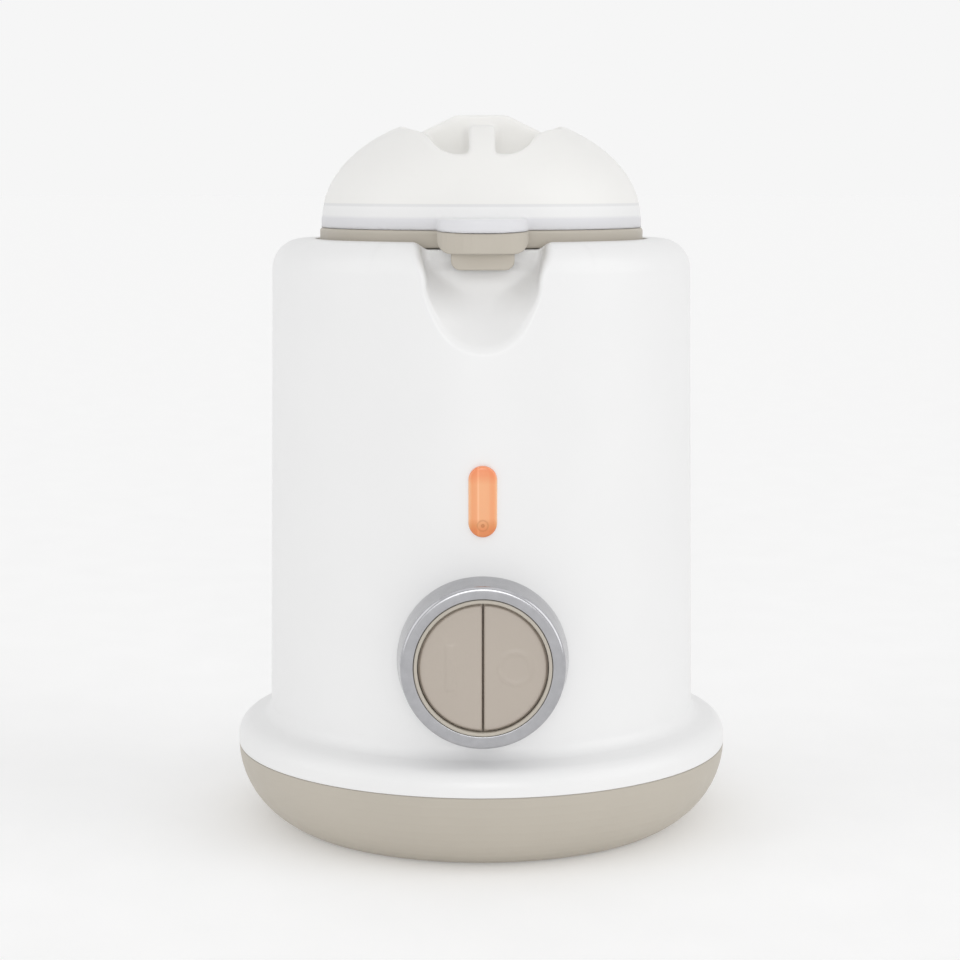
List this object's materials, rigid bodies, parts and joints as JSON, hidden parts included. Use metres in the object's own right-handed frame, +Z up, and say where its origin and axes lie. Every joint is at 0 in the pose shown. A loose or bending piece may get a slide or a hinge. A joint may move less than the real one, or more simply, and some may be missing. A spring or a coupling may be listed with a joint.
{
  "type": "bottle warmer sterilizer",
  "caption": "Baby bottle warmer and steam sterilizer: white tower on a taupe bowl base, lift-out basket, frosted dome lid, split push button and amber pilot window",
  "frame": {"origin": "on the floor, below the tower's axis", "axes": "+Z up, the button and the pilot window face -Y, +X is the viewer's right from the front"},
  "size_m": [0.15, 0.15, 0.214],
  "materials": {
    "white_plastic": "satin moulded",
    "frosted_plastic": "frosted, translucent",
    "taupe_plastic": "fine matt",
    "bezel_chrome": "satin plated",
    "steel": "plain sheet",
    "element_sheath": "dark oxidised",
    "dark_plastic": "moulded",
    "circuit_board": "solder mask",
    "amber_plastic": "translucent, lightly frosted",
    "silicone": "soft matt",
    "lead_sleeve": "silicone sleeve",
    "white_ceramic": "unglazed"
  },
  "bodies": {
    "body": {"body_shell": "white_plastic", "chamber_cup": "white_plastic", "plate_seal": "silicone", "heating_plate": "steel", "heating_element": "element_sheath", "clamp_ring": "steel", "clamp_screws": "steel", "thermostat": "dark_plastic", "thermostat_strap": "steel", "thermal_fuse": "white_ceramic", "fuse_clip": "steel", "heat_shield": "steel", "shield_screws": "steel", "base_shell": "taupe_plastic", "rubber_feet": "silicone", "base_screws": "steel", "cord_gland": "dark_plastic", "gland_nut": "dark_plastic", "terminal_block": "white_plastic", "heater_leads": "lead_sleeve", "power_board": "circuit_board", "power_board_screws": "steel", "relay": "dark_plastic", "bezel_ring": "bezel_chrome", "trim_ring": "taupe_plastic", "spring_left": "steel", "spring_right": "steel", "button_carrier": "dark_plastic", "carrier_screws": "steel", "control_board": "circuit_board", "board_screws": "steel", "tact_switches": "dark_plastic", "indicator_lens": "amber_plastic", "led_holder": "white_plastic", "holder_screws": "steel", "led_board": "circuit_board", "indicator_leds": "amber_plastic"},
    "basket": {"bottle_basket": "taupe_plastic"},
    "lid": {"lid_dome": "frosted_plastic"},
    "left_button": {"button_left": "taupe_plastic"},
    "right_button": {"button_right": "taupe_plastic"}
  },
  "joints": [
    {"name": "basket_lift", "type": "slide", "parent": "body", "child": "basket", "axis": [0, 0, 1], "range_m": [0, 0.135]},
    {"name": "lid_lift", "type": "slide", "parent": "basket", "child": "lid", "axis": [0, 0, 1], "range_m": [0, 0.08]},
    {"name": "left_press", "type": "slide", "parent": "body", "child": "left_button", "axis": [0, 1, 0], "range_m": [0, 0.002], "stiffness_N_per_m": 400, "springref_m": -0.002, "deforming": ["spring_left"]},
    {"name": "right_press", "type": "slide", "parent": "body", "child": "right_button", "axis": [0, 1, 0], "range_m": [0, 0.002], "stiffness_N_per_m": 400, "springref_m": -0.002, "deforming": ["spring_right"]}
  ]
}
